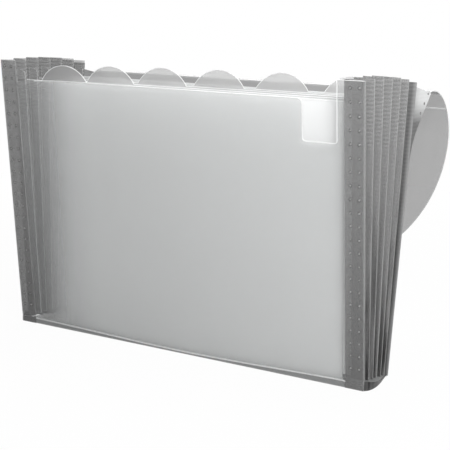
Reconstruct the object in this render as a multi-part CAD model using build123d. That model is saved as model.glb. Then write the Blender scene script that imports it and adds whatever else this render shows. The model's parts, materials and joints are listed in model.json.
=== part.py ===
from build123d import *
import os
from math import cos, isclose, pi, radians, sin

# Expanding document file of thin plastic sheet, standing open in a fan.
# X runs along the width, Y from front to back and Z up. The origin is on the floor,
# under the middle of the base.

# Driving sizes, in millimetres and degrees
FILE_WIDTH = 330.0  # between the outer folds of the two gussets
PANEL_HEIGHT = 232.0  # floor to gusset top, measured along a leaning panel
BASE_DEPTH = 44.0  # front crease to rear crease
COVER_LEAN = 6.5  # lean of each cover from upright, as the fan stands open
POCKETS = 7

# Sheet thicknesses
COVER_SHEET = 0.8
GUSSET_SHEET = 0.5
DIVIDER_SHEET = 0.5

# Clearances
CREASE_GAP = 0.15  # each sheet's edge to the crease line that it folds on
SEAT_GAP = 0.3  # sheet edge to the fold that it lies in

# Base
CREASE_HEIGHT = 5.0  # floor to the creases of both covers
BASE_EDGE_RADIUS = 3.5  # outside of the base's two long bends

# Gussets
PLEAT_DEPTH = 19.0  # outer fold to inner fold
FOLD_FLAT = 1.2  # width of the flat that stands for a fold's round
FLANGE_WIDTH = 16.0  # strip welded to a cover's outer face
GUSSET_FOOT = 3.0  # gusset's lower edge above the creases

# Front cover
COVER_DROP = 14.5  # top edge below the gusset tops
NOTCH_WIDTH = 27.0
NOTCH_DEPTH = 31.0
NOTCH_POST = 6.5  # strip of cover left between the notch and the flange
NOTCH_CORNER = 2.0
NOTCH_LEAD_CORNER = 4.0  # rounded corner where the top edge runs into the notch

# Dividers
DIVIDER_DROP = 16.0  # top edge below the gusset tops
DIVIDER_FOOT = 3.0  # lower edge above the creases
TAB_CHORD = 47.0
TAB_HEIGHT = 14.5
TAB_MARGIN_LEFT = 16.0  # first tab's end to the divider's left edge
TAB_MARGIN_RIGHT = 6.0  # last tab's end to the divider's right edge
TAB_EASE = 0.25  # how much closer the first tabs stand than the last ones
SIDE_FLANGE_WIDTH = 9.0  # side margin of a divider, welded to its pleat
SIDE_FLANGE_DROP = 8.0  # its top below the gusset tops
SIDE_FLANGE_CORNER = 4.0
SIDE_FLANGE_FOOT = 2.0  # its lower edge above the gusset's lower edge
WELD_FILM = 0.1  # side margin to its pleat

# Back cover, which tilts back, turns over a shoulder and rolls down into the flap.
# Each bend's radius is to the middle of the sheet, and its turn is in degrees.
TILT_DROP = 70.0  # start of the tilt below the gusset tops
TILT_RADIUS = 54.0
TILT_TURN = 38.0
SHOULDER_DROP = 2.5  # start of the shoulder below the gusset tops
SHOULDER_RADIUS = 8.0
SHOULDER_TURN = 41.0
ROLL_RADIUS = 42.0  # from the shoulder to the upright flap
ROLL_REACH = 24.5  # gusset tops to the flap's first crease, along the sheet
BRIDGE_WIDTH = 20.0  # first crease to second crease
FLAP_LENGTH = 151.0  # second crease to the flap's tip
FLAP_CORNER = 128.0
CORNER_SHARE = 0.98  # most of the flap's length or half width that a corner takes

# Webs of the last pleats, which span from their upright ridges to the tilted back cover
WEB_LEAD = 12.0  # start of the tilt to the web's lower end
WEB_DROP = 8.0  # web's top at the ridge below the gusset tops

# Weld spots of the four flanges
SPOT_RADIUS = 1.2
SPOT_RISE = 0.35
SPOT_PITCH = 10.0
SPOT_END = 5.0  # first and last spots to the ends of the flange
SPOT_OUTER = 3.9  # outer column to the fold
SPOT_INNER = 10.8  # inner column to the fold

# Facets of the folded sheets
MITRE_LIMIT = 0.5  # least cosine at which a fold's two faces still meet in a mitre

# Worked-out sizes
half_width = FILE_WIDTH / 2
valley_x = half_width - PLEAT_DEPTH
panel_top = PANEL_HEIGHT - CREASE_HEIGHT
lean = radians(COVER_LEAN)
cover_half = half_width - GUSSET_SHEET / 2 - SEAT_GAP
divider_half = valley_x - GUSSET_SHEET / 2 - SEAT_GAP
flange_middle = COVER_SHEET / 2 + GUSSET_SHEET / 2
fold_behind_cover = flange_middle + SEAT_GAP
tilt_start = panel_top - TILT_DROP
tilt_turn = radians(TILT_TURN)
shoulder_start = panel_top - SHOULDER_DROP
shoulder_turn = radians(SHOULDER_TURN)
roll_start = shoulder_start + SHOULDER_RADIUS * shoulder_turn
roll_turn = pi - lean - tilt_turn - shoulder_turn
first_crease = panel_top + ROLL_REACH
second_crease = first_crease + BRIDGE_WIDTH
flap_tip = second_crease + FLAP_LENGTH

# Bends of the back sheet: start along the sheet, radius and turn
bends = [
    (tilt_start, TILT_RADIUS, tilt_turn),
    (shoulder_start, SHOULDER_RADIUS, shoulder_turn),
    (roll_start, ROLL_RADIUS, roll_turn),
]


def ridge_share(number):
    """Place of an outer fold in the fan, from 0 at the front cover to 1 at the back cover."""
    return number / (POCKETS - 1)


def valley_share(number):
    """Place in the fan of the inner fold that carries a divider."""
    return (number - 0.5) / (POCKETS - 1)


def fan_lean(share):
    return lean * (2 * share - 1)


def fan_point(share, x, up, out=0.0):
    """Point of a leaning panel: up from its crease, and out behind its middle plane."""
    angle = fan_lean(share)
    y = BASE_DEPTH * (share - 0.5) + up * sin(angle) + out * cos(angle)
    z = CREASE_HEIGHT + up * cos(angle) - out * sin(angle)
    return Vector(x, y, z)


def fan_plane(share, out=0.0):
    """Plane of a panel: local X across the width, local Y up the panel, facing the front."""
    angle = fan_lean(share)
    return Plane(fan_point(share, 0, 0, out), x_dir=(1, 0, 0), z_dir=(0, -cos(angle), sin(angle)))


def back_lean(up):
    """Lean of the back sheet at a place along it, from upright."""
    return lean + sum(min(max(up - start, 0.0) / radius, turn) for start, radius, turn in bends)


def back_normal(up):
    """Direction from the back sheet towards its outer face."""
    return Vector(0, cos(back_lean(up)), -sin(back_lean(up)))


def back_along(up):
    """Direction along the back sheet, away from the rear crease."""
    return Vector(0, sin(back_lean(up)), cos(back_lean(up)))


def back_point(up, out=0.0, x=0.0):
    """Point of the back sheet, up along it from the rear crease, over the bends to the flap."""
    point = fan_point(1, x, 0)
    place = 0.0
    for start, radius, turn in bends:
        if up <= start:
            break
        end = min(up, start + radius * turn)
        point += back_along(place) * (start - place)
        point += (back_normal(start) - back_normal(end)) * radius
        place = end
    return point + back_along(place) * (up - place) + back_normal(up) * out


def back_run(low, high, out):
    """Edges of one face of the back sheet between two places along it."""
    ends = [stop for start, radius, turn in bends for stop in (start, start + radius * turn)]
    stops = sorted({low, high} | {stop for stop in ends if low < stop < high})
    edges = []
    for first, last in zip(stops, stops[1:]):
        middle = (first + last) / 2
        points = [back_point(place, out) for place in (first, middle, last)]
        bent = not isclose(back_lean(first), back_lean(last))
        edges.append(Edge.make_three_point_arc(*points) if bent else Edge.make_line(points[0], points[2]))
    return edges


def back_strip(low, high, inner, outer, left, right):
    """Solid strip of the back sheet, between two places along it and two depths."""
    edges = back_run(low, high, inner) + back_run(low, high, outer)
    for place in (low, high):
        edges.append(Edge.make_line(back_point(place, inner), back_point(place, outer)))
    section = Face(Wire(edges))
    section = section.moved(Location((left, 0, 0)))
    return extrude(section, amount=right - left, dir=(1, 0, 0))


def flat_sheet(outline, share, thickness, out=0.0):
    """Sheet of even thickness about a panel's plane."""
    return extrude(fan_plane(share, out) * outline, amount=thickness / 2, both=True)


def span(left, right, bottom, top):
    """Rectangle between two widths and two heights of a panel."""
    return Pos((left + right) / 2, (bottom + top) / 2) * Rectangle(right - left, top - bottom)


def lower_corners(outline):
    return outline.vertices().group_by(Axis.Y)[0]


def folded_sheet(rows, thickness):
    """Closed solid of flat facets about a grid of points, for a sheet that is folded and twisted."""
    last_row = len(rows) - 1
    last = len(rows[0]) - 1
    faces = {}
    for side in (-1, 1):
        for r, row in enumerate(rows):
            up = (rows[min(r + 1, last_row)][0] - rows[max(r - 1, 0)][0]).normalized()
            for c, point in enumerate(row):
                before = (row[max(c, 1)] - row[max(c, 1) - 1]).normalized()
                after = (row[min(c, last - 1) + 1] - row[min(c, last - 1)]).normalized()
                normal = (before.cross(up) + after.cross(up)).normalized()
                mitre = max(normal.dot(before.cross(up).normalized()), MITRE_LIMIT)
                faces[side, r, c] = point + normal * (side * thickness / 2 / mitre)
    quads = []
    for r in range(last_row):
        for c in range(last):
            for side in (-1, 1):
                quads.append([(side, r, c), (side, r, c + 1), (side, r + 1, c + 1), (side, r + 1, c)])
        for c in (0, last):
            quads.append([(-1, r, c), (1, r, c), (1, r + 1, c), (-1, r + 1, c)])
    for r in (0, last_row):
        for c in range(last):
            quads.append([(-1, r, c), (1, r, c), (1, r, c + 1), (-1, r, c + 1)])
    facets = []
    for quad in quads:
        a, b, c, d = [faces[key] for key in quad]
        facets += [Face(Wire.make_polygon(corners)) for corners in ((a, b, c), (a, c, d))]
    return Solid(Shell(facets))


def base_trough():
    """Base with its two long edges turned up to the creases of the covers."""
    height = CREASE_HEIGHT - CREASE_GAP
    outer = span(-BASE_DEPTH / 2 - COVER_SHEET / 2, BASE_DEPTH / 2 + COVER_SHEET / 2, 0, height)
    inner = span(-BASE_DEPTH / 2 + COVER_SHEET / 2, BASE_DEPTH / 2 - COVER_SHEET / 2, COVER_SHEET, height)
    outer = fillet(lower_corners(outer), BASE_EDGE_RADIUS)
    inner = fillet(lower_corners(inner), BASE_EDGE_RADIUS - COVER_SHEET)
    return extrude(Plane.YZ * (outer - inner), amount=cover_half, both=True)


def front_cover():
    """Front cover, lowered between the gussets, with a square notch in its top edge."""
    edge = panel_top - COVER_DROP
    inside = half_width - FLANGE_WIDTH
    notch_right = inside - NOTCH_POST
    notch_left = notch_right - NOTCH_WIDTH
    outline = span(-cover_half, cover_half, CREASE_GAP, panel_top)
    outline -= span(-inside, notch_right, edge, panel_top)
    notch = span(notch_left, notch_right, edge - NOTCH_DEPTH, panel_top)
    outline -= fillet(lower_corners(notch), NOTCH_CORNER)
    lead_corner = outline.vertices().sort_by_distance((notch_left, edge, 0))[0]
    outline = fillet(lead_corner, NOTCH_LEAD_CORNER)
    return flat_sheet(outline, 0, COVER_SHEET)


def divider(number):
    """Divider with its index tab, one step further right than the divider in front."""
    top = panel_top - DIVIDER_DROP
    radius = (TAB_CHORD**2 / 4 + TAB_HEIGHT**2) / (2 * TAB_HEIGHT)
    first = -divider_half + TAB_MARGIN_LEFT + TAB_CHORD / 2
    last = divider_half - TAB_MARGIN_RIGHT - TAB_CHORD / 2
    step = (number - 1) / max(POCKETS - 2, 1)
    tab_x = first + (last - first) * (step - TAB_EASE * step * (1 - step))
    disc = Pos(tab_x, top + TAB_HEIGHT - radius) * Circle(radius)
    tab = disc & span(tab_x - radius, tab_x + radius, top, top + TAB_HEIGHT)
    outline = span(-divider_half, divider_half, DIVIDER_FOOT, top) + tab
    return flat_sheet(outline, valley_share(number), DIVIDER_SHEET)


def pleat_row(pocket, side, up):
    """Points across one pocket's pleat, from its front fold to its rear fold."""
    half_flat = FOLD_FLAT / 2
    front = [fan_point(valley_share(pocket - 1), side * valley_x, up, out) for out in (0, half_flat)]
    rear = [fan_point(valley_share(pocket), side * valley_x, up, out) for out in (-half_flat, 0)]
    if pocket == 1:
        outs = (-flange_middle, fold_behind_cover)
        return [fan_point(0, side * half_width, up, out) for out in outs] + rear
    if pocket == POCKETS:
        outs = (-fold_behind_cover, flange_middle)
        return front + [fan_point(1, side * half_width, up, out) for out in outs]
    outs = (-half_flat, half_flat)
    ridge = [fan_point(ridge_share(pocket - 1), side * half_width, up, out) for out in outs]
    return front + ridge + rear


def gusset_pleat(pocket, side):
    """One pocket's pleat: two panels folded at the outer ridge, or one beside a cover."""
    return folded_sheet([pleat_row(pocket, side, up) for up in (GUSSET_FOOT, panel_top)], GUSSET_SHEET)


def gusset_web(side):
    """Web of the last pleat, from its upright ridge to the edge of the tilted back cover."""
    low = tilt_start + WEB_LEAD
    ridge_low, ridge_high = [fan_point(1, 0, up, flange_middle) for up in (low, panel_top - WEB_DROP)]
    edges = back_run(low, panel_top, flange_middle)
    edges.append(Edge.make_line(back_point(low, flange_middle), ridge_low))
    edges.append(Edge.make_line(ridge_low, ridge_high))
    edges.append(Edge.make_line(ridge_high, back_point(panel_top, flange_middle)))
    section = Face(Wire(edges)).moved(Location((side * half_width, 0, 0)))
    return extrude(section, amount=GUSSET_SHEET / 2, dir=(1, 0, 0), both=True)


def side_flange(number, side):
    """Side margin of a divider, turned forward and welded inside its pleat."""
    into = (GUSSET_SHEET + DIVIDER_SHEET) / 2 + WELD_FILM
    top = panel_top - SIDE_FLANGE_DROP
    rows = []
    for up, trim in (
        (GUSSET_FOOT + SIDE_FLANGE_FOOT, 0),
        (top - SIDE_FLANGE_CORNER, 0),
        (top, SIDE_FLANGE_CORNER),
    ):
        row = pleat_row(number, side, up)
        ridge, valley = row[-3], row[-2]
        along = (ridge - valley).normalized()
        rise = (pleat_row(number, side, up + SIDE_FLANGE_CORNER)[-2] - valley).normalized()
        normal = along.cross(rise).normalized()
        if normal.X * side > 0:
            normal = normal * -1
        start = valley + normal * into
        rows.append([start + along * (into + trim), start + along * SIDE_FLANGE_WIDTH])
    return folded_sheet(rows, DIVIDER_SHEET)


def front_flange(side):
    """Strip of gusset welded down the front cover's outer face."""
    fold = half_width - GUSSET_SHEET / 2
    left, right = sorted((side * (half_width - FLANGE_WIDTH), side * fold))
    return flat_sheet(span(left, right, GUSSET_FOOT, panel_top), 0, GUSSET_SHEET, -flange_middle)


def rear_flange(side):
    """Strip of gusset welded up the back cover's outer face, to its shoulder."""
    fold = half_width - GUSSET_SHEET / 2
    left, right = sorted((side * (half_width - FLANGE_WIDTH), side * fold))
    face = COVER_SHEET / 2
    return back_strip(GUSSET_FOOT, panel_top, face, face + GUSSET_SHEET, left, right)


def weld_spots(side, place):
    """Two columns of weld spots, as low discs, down one flange."""
    run = panel_top - GUSSET_FOOT - 2 * SPOT_END
    count = int(run // SPOT_PITCH) + 1
    first = GUSSET_FOOT + SPOT_END + (run - (count - 1) * SPOT_PITCH) / 2
    spots = []
    for row in range(count):
        for inset in (SPOT_OUTER, SPOT_INNER):
            seat, normal = place(side * (half_width - inset), first + row * SPOT_PITCH)
            disc = Cylinder(SPOT_RADIUS, SPOT_RISE, align=(Align.CENTER, Align.CENTER, Align.MIN))
            spots.append(Plane(seat, x_dir=(1, 0, 0), z_dir=normal) * disc)
    return Compound([spot.solid() for spot in spots])


def front_seat(x, up):
    """Place and direction of a weld spot on a front flange."""
    return fan_point(0, x, up, -COVER_SHEET / 2 - GUSSET_SHEET), fan_plane(0).z_dir


def rear_seat(x, up):
    """Place and direction of a weld spot on a rear flange; a flat disc stands clear of a bend."""
    face = COVER_SHEET / 2 + GUSSET_SHEET
    clear = 0.0
    for start, radius, turn in bends:
        if start - SPOT_RADIUS < up < start + radius * turn + SPOT_RADIUS:
            clear = SPOT_RADIUS**2 / (2 * (radius - face - SPOT_RADIUS))
    return back_point(up, face + clear, x), back_normal(up)


def back_cover():
    """Back cover, up its tilt and over its shoulder to the flap's first crease."""
    half_sheet = COVER_SHEET / 2
    return back_strip(CREASE_GAP, first_crease - CREASE_GAP, -half_sheet, half_sheet, -cover_half, cover_half)


def flap_bridge():
    """Strip between the flap's two creases."""
    half_sheet = COVER_SHEET / 2
    low, high = first_crease + CREASE_GAP, second_crease - CREASE_GAP
    return back_strip(low, high, -half_sheet, half_sheet, -cover_half, cover_half)


def flap():
    """Flap with two large rounded corners, hanging behind the back cover."""
    half_sheet = COVER_SHEET / 2
    low = second_crease + CREASE_GAP
    sheet = back_strip(low, flap_tip, -half_sheet, half_sheet, -cover_half, cover_half)
    tip = back_point(flap_tip)
    top = back_point(low).Z + COVER_SHEET
    depth = 2 * ROLL_RADIUS
    corner = min(FLAP_CORNER, CORNER_SHARE * cover_half, CORNER_SHARE * (top - tip.Z))
    outline = span(-cover_half, cover_half, tip.Z, top)
    outline = fillet(lower_corners(outline), corner)
    lobe = extrude(Plane((0, tip.Y, 0), x_dir=(1, 0, 0), z_dir=(0, -1, 0)) * outline, amount=depth, both=True)
    return sheet & lobe


def write_node(name, shape):
    """Write one node's solids, each on its own, to its file."""
    solids = shape.solids()
    solid = solids[0] if len(solids) == 1 else Compound(list(solids))
    export_step(solid, os.path.join("parts", name + ".step"))


def main():
    os.makedirs("parts", exist_ok=True)
    write_node("base_trough", base_trough())
    write_node("front_cover", front_cover())
    write_node("back_cover", back_cover())
    write_node("flap_bridge", flap_bridge())
    write_node("flap", flap())
    for number in range(1, POCKETS):
        write_node(f"divider_{number}", divider(number))
        margins = [side_flange(number, side) for side in (-1, 1)]
        write_node(f"divider_{number}_side_flanges", Compound(margins))
    for name, side in (("left", -1), ("right", 1)):
        write_node(f"{name}_front_flange", front_flange(side))
        write_node(f"{name}_rear_flange", rear_flange(side))
        write_node(f"{name}_front_weld_spots", weld_spots(side, front_seat))
        write_node(f"{name}_rear_weld_spots", weld_spots(side, rear_seat))
        for pocket in range(1, POCKETS):
            write_node(f"{name}_gusset_pleat_{pocket}", gusset_pleat(pocket, side))
        last_pleat = Compound([gusset_pleat(POCKETS, side), gusset_web(side).solid()])
        write_node(f"{name}_gusset_pleat_{POCKETS}", last_pleat)


main()
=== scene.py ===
"""Expanding document file of smoke and milky plastic sheet, dressed around its solid model."""

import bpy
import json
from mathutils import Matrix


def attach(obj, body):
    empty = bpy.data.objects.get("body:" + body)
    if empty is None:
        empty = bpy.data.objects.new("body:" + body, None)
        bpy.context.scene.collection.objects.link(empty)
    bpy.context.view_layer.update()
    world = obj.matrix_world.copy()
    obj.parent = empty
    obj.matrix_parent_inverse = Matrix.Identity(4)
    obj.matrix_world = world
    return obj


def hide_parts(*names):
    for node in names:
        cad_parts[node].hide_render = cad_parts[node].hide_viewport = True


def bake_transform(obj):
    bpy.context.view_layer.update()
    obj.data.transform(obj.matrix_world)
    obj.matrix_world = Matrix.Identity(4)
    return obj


bl_info = {
    "name": "Expanding document file",
    "version": (1, 0, 0),
    "blender": (4, 5, 0),
    "location": "3D View > Sidebar > Document file",
    "description": "Makes the covers, pleats, dividers and weld spots of an expanding document file",
    "category": "Add Mesh",
}

import json
from math import asin, cos, degrees, pi, radians, sin, sqrt

import bmesh
import bpy
from bpy.props import FloatProperty, FloatVectorProperty, PointerProperty, StringProperty
from mathutils import Matrix, Vector, noise

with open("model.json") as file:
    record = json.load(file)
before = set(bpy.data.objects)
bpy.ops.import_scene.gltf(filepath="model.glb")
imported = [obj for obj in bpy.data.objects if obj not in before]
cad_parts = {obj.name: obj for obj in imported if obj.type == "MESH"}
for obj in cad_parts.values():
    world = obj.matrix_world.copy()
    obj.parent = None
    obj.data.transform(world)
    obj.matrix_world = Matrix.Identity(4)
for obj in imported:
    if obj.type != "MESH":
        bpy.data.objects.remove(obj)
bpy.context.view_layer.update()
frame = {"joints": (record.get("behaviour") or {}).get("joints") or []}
JOINTS = {joint["name"]: joint for joint in frame["joints"]}
POCKETS = sum(name.startswith("pocket_") for name in JOINTS)
REAR_CREASE_Y, CREASE_HEIGHT = JOINTS["fan"]["pos_m"][1:]
SIDES = (("left", -1), ("right", 1))

# Attributes of the meshes
FOLD_MARK = "fold_white"  # whitens a sheet along its folds
SPOT_MIDDLE = "spot_middle"  # 1 on the middle of a weld spot, where its painted highlight goes
FACING = "facing"  # direction that a weld spot faces

# Whitening of folds and creases, from 0 to 1
OUTER_FOLD_WHITE_AND_HIGHLIGHT = {-1: 0.1, 1: 0.5}  # of each side's gusset: stretch whitening, with a painted highlight added on the lit right side
INNER_FOLD_WHITE = 0.1
COVER_FOLD_WHITE = (0.2, 0.3, 0.1, 0.0)  # across a fold beside a cover, from front to back
STRIP_FOLD_WHITE = 0.25
BASE_EDGE_WHITE = (0.8, 0.7)  # base's front edge and the row below it
BACK_CREASE_WHITE = 0.85
FLAP_CREASE_WHITE = 0.35
WEB_HIGHLIGHT_COLUMNS = ((0, 0.6), (0.3, 0.8), (0.6, 0.85), (0.93, 0.85), (1, 0.9))  # place across, and painted highlight there
WEB_HIGHLIGHT_START, WEB_HIGHLIGHT_RUN = 0.5, 0.35  # shares of a web's height: where its painted highlight starts, and its run

# Small sizes, in metres
EDGE_WIDTH = 0.0005  # pale border that a cut edge shows on its sheet's faces
PALE_LEAD = 0.02  # front cover's left strip to its pale border
PALE_INSET = 0.0006  # end of that border before the right strip
NOTCH_CORNER, NOTCH_LEAD_CORNER = 0.002, 0.004
SAG_REACH = 0.055  # length of the front cover's sagging left end
BASE_BEND = 0.0008  # radius of the base's long bends, to the middle of the sheet
BASE_EDGE_ROWS = (0, 0.0005, 0.0007)  # rows of the base's front edge below its top
FEET_LEVEL = 0.0004  # lower edges of the gussets' feet above the floor
STRIP_FOOT_OUT = 0.00024  # front strips' feet in front of their strips, clear of the moving cover
STRIP_FOOT_LAP = 0.0001  # and above the front crease
FOLD_FOOT_INSET = 0.0009  # ends of the fold feet inside the strips' feet
FOLD_FOOT_BULGE = 0.0039
FOLD_FOOT_SKEW = 0.6  # moves the bulge's crown towards the front
FOLD_FOOT_TAPER = 0.0015
FOLD_FOOT_GAP = 0.0002  # fold feet to the pleats, when the file is shut
DIVIDER_GAP = 0.0004  # dividers to the base, when the file is shut
TAB_FOOT_SHADE = (0.0020, 0.0005)  # start and end of a tab's grey, below its foot
MARGIN_SHADE = 0.012  # width of the shaded left margin of a divider
FIRST_TAB_SHADE = (-0.125, -0.06)  # places across where the first tab's shade fades out
TONGUE_STEP = 0.0005  # side flanges' tops to the dividers, over which the clearness changes
FLANGE_CORNER = 0.004
FLANGE_FOOT = 0.002  # side flange's lower edge above the gussets' lower edge
FLANGE_START = 0.0003  # side flange's edge to the inner fold
WELD_FILM = 0.0001  # side flange to its pleat
PLEAT_BULGE = 0.0006
WEB_LEAD = 0.006  # start of the tilt to a web's lower end
WEB_DROP = 0.008  # web's top at the ridge below the gussets' tops
WEB_SPOT_LEAD = 0.03  # start of the tilt to a web's first weld spot
CREASE_LINE = 0.0009  # whitened border of the back sheet, and half of a whitened crease
SHOULDER_LINE = (0.0014, 0.0004)  # whitened line before the shoulder's end
FLOOR_REACH = 6.0

# Shares, steps and angles
FOLD_LIFT = 0.35  # how proud a fold stands, as a share of its half round
BLEND_LEVEL = 0.65  # share of a panel's height at which the ends of a pleat's bend are worked out; no bend is set
PLEAT_NOISE = (3.7, 5.3, 14)  # steps of the pleats' bulges for each pocket, side and metre
SPOT_PITCH_SHARE = 0.9999  # a hair short, so that rounding loses no spot at a line's end
SPOT_SEED = 4
SHARP_CORNER = radians(50)
BEND_STEP = radians(5)  # about the most that a row of the back sheet turns
BAND = 0.314  # scale at which a wave texture's bands are one unit apart
IOR = 1.49  # of polypropylene
RGBA = {"data_type": "RGBA"}
SMOOTH = {"interpolation_type": "SMOOTHSTEP"}

# Finishes by plain name
FINISHES = {
    "edge": "polypropylene, die-cut edge",
    "slit": "polypropylene, slit edge",
    "spot": "polypropylene, fused spot",
    "milky": "natural polypropylene, extruded",
    "gusset": "smoke polypropylene, pleated",
    "strip": "smoke polypropylene, strip",
    # the foot finish is a dark copy of the gusset sheet, painted shade for the fold feet, the last pleat and
    # the webs
    "foot": "smoke polypropylene, foot",
    "front": "smoke polypropylene, front",
    "back": "smoke polypropylene, back",
    "flap": "smoke polypropylene, flap",
    "base": "smoke polypropylene, base",
}

# Lamps: name, property that holds the power, size and place
LAMPS = (
    ("key", "key_power", 0.5, (0.70, -0.62, 0.68)),
    ("top", "top_power", 0.6, (0.1, 0.25, 1.0)),
    ("back fill", "fill_power", 0.8, (-0.45, 1.0, 0.6)),
)


def length(name, description, default):
    """Property that holds a length."""
    return FloatProperty(name=name, description=description, default=default, unit="LENGTH")


def angle(name, description, default):
    """Property that holds an angle, with its default in degrees."""
    return FloatProperty(name=name, description=description, default=radians(default), subtype="ANGLE")


def tint(name, description, default):
    """Property that holds a colour as an sRGB hex value."""
    return StringProperty(name=name, description="sRGB colour of " + description, default=default)


def opacity(name, description, default):
    """Property that holds the share of light that a sheet stops."""
    return FloatProperty(
        name=name, description="Share of light stopped by " + description, default=default, subtype="FACTOR",
        min=0, max=1)


def power(name, description, default):
    """Property that holds a lamp's power."""
    return FloatProperty(name=name, description="Power of " + description, default=default, unit="POWER")


class FileSizes(bpy.types.PropertyGroup):
    """Sizes of the file's sheets, in metres."""

    half_width: length("Half width", "Middle of the file to the gussets' outer folds", 0.165)
    lean: angle("Cover lean", "Lean of each cover from upright", 6.5)
    panel_top: length("Panel top", "Creases to the gussets' tops, along a panel", 0.227)
    pleat_depth: length("Pleat depth", "Outer fold to inner fold", 0.019)
    fold_round: length("Fold round", "Half width of a fold's round", 0.0006)
    gusset_foot: length("Gusset foot", "Gussets' lower edge above the creases", 0.003)
    foot_drop: length("Foot drop", "How much lower the gussets' lower edge is at the back", 0.0065)
    strip_width: length("Strip width", "Strip of gusset welded to a cover", 0.0152)
    cover_sheet: length("Cover sheet", "Thickness of the cover sheet", 0.0008)
    gusset_sheet: length("Gusset sheet", "Thickness of the gusset sheet", 0.0005)
    divider_sheet: length("Divider sheet", "Thickness of a divider", 0.0005)
    seat_gap: length("Seat gap", "Sheet edge to the fold that it lies in", 0.0003)
    crease_gap: length("Crease gap", "Sheet edge to its crease line", 0.00015)
    cover_drop: length("Cover drop", "Front cover's top edge below the gussets' tops", 0.0145)
    notch_width: length("Notch width", "Width of the front cover's notch", 0.027)
    notch_depth: length("Notch depth", "Depth of the front cover's notch", 0.031)
    notch_post: length("Notch post", "Cover left between the notch and the strip", 0.0065)
    divider_drop: length("Divider drop", "Dividers' top edge below the gussets' tops", 0.016)
    tab_chord: length("Tab chord", "Width of an index tab", 0.047)
    tab_height: length("Tab height", "Height of an index tab", 0.0132)
    tab_left: length("Left tab margin", "First tab to the divider's left edge", 0.016)
    tab_right: length("Right tab margin", "Last tab to the divider's right edge", 0.006)
    tab_ease: FloatProperty(
        name="Tab ease", description="How much closer together the first tabs are than the last ones",
        default=0.25)
    flange_width: length("Side flange", "Divider's side margin, welded inside its pleat", 0.0075)
    flange_drop: length("Side flange drop", "Side flange's top below the gussets' tops", 0.008)
    tilt_drop: length("Tilt drop", "Start of the back cover's tilt below the gussets' tops", 0.070)
    tilt_radius: length("Tilt radius", "Radius of the bend that tilts the back cover", 0.054)
    tilt_turn: angle("Tilt", "Turn of the back cover's tilt", 38)
    shoulder_drop: length("Shoulder drop", "Start of the shoulder below the gussets' tops", 0.0025)
    shoulder_radius: length("Shoulder radius", "Radius of the back sheet's shoulder", 0.008)
    shoulder_turn: angle("Shoulder", "Turn of the back sheet's shoulder", 41)
    roll_radius: length("Roll radius", "Radius of the roll from the shoulder to the flap", 0.042)
    roll_reach: length("Roll reach", "Gussets' tops to the flap's first crease, along the sheet", 0.0245)
    bridge_width: length("Bridge width", "Between the flap's two creases", 0.020)
    flap_length: length("Flap length", "Second crease to the flap's tip", 0.151)
    flap_corner: length("Flap corner", "Radius of the flap's corners", 0.128)
    base_dip: length("Base dip", "Dip of the front crease in the middle of the base", 0.0026)
    base_rise: length("Base rise", "Rise of the front crease at the right end of the base", 0.001)
    gusset_sag: length("Gusset sag", "Drop of the last pleat's top below the first one's", 0.0045)
    cover_sag: length("Cover sag", "Drop of the front cover's top edge at its left end", 0.003)
    spot_radius: length("Weld spot", "Radius of a weld spot", 0.0012)
    spot_end: length("Weld end", "First weld spot to the strip's top", 0.005)
    spot_outer: length("Outer welds", "Outer row of weld spots to the outer fold", 0.0039)
    spot_inner: length("Inner welds", "Inner row of weld spots to the outer fold", 0.0108)
    spot_pitch: length("Weld pitch", "Distance between weld spots", 0.010)


class FileFinishes(bpy.types.PropertyGroup):
    """Colours and clearness of the file's sheets."""

    front_tint: tint("Front cover", "the front cover", "#BABCBC")
    front_opacity: opacity("Front cover opacity", "the front cover", 0.30)
    back_tint: tint("Back sheet", "the back cover", "#969696")
    back_opacity: opacity("Back sheet opacity", "the back cover", 0.88)
    flap_tint: tint("Flap", "the flap, which is lit from behind", "#888888")
    flap_opacity: opacity("Flap opacity", "the flap", 0.72)
    base_tint: tint("Base", "the base", "#8E8F8F")
    base_opacity: opacity("Base opacity", "the base", 0.97)
    # dark tint that paints shade on the fold feet, the last pleat and the webs
    painted_shade_tint: tint("Gusset feet", "the folded feet between the base's edges", "#454545")
    foot_opacity: opacity("Gusset feet opacity", "the folded feet", 0.97)
    gusset_tint: tint("Gusset", "the gussets' pleats", "#808080")
    gusset_opacity: opacity("Gusset opacity", "a gusset sheet", 0.74)
    strip_tint: tint("Strip", "the strips on the covers", "#929292")
    strip_opacity: opacity("Strip opacity", "a strip", 0.74)
    milky_tint: tint("Dividers", "the dividers", "#F8F9F9")
    milky_opacity: opacity("Divider opacity", "a divider", 0.86)
    tab_tint: tint("Index tabs", "the dividers' tabs", "#CDCDCD")
    first_tab_tint: tint("First tab", "the first tab, which the gusset shades", "#A6A6A6")
    tab_opacity: opacity("Tab opacity", "an index tab", 0.75)
    margin_tint: tint("Left margin tint", "a divider's left margin, which the gusset shades", "#909090")
    margin_opacity: opacity("Margin opacity", "a divider's left edge", 0.14)
    margin_left: length("Left margin", "Width over which a divider's left margin turns milky", 0.070)
    tongue_opacity: opacity("Tongue opacity", "the top of a left side flange", 0.6)
    slit_tint: tint("Slit edges", "the strips' slit edges", "#B0B0B0")
    edge_tint: tint("Cut edges", "cut edges and stretched folds", "#F3F4F4")


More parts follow.
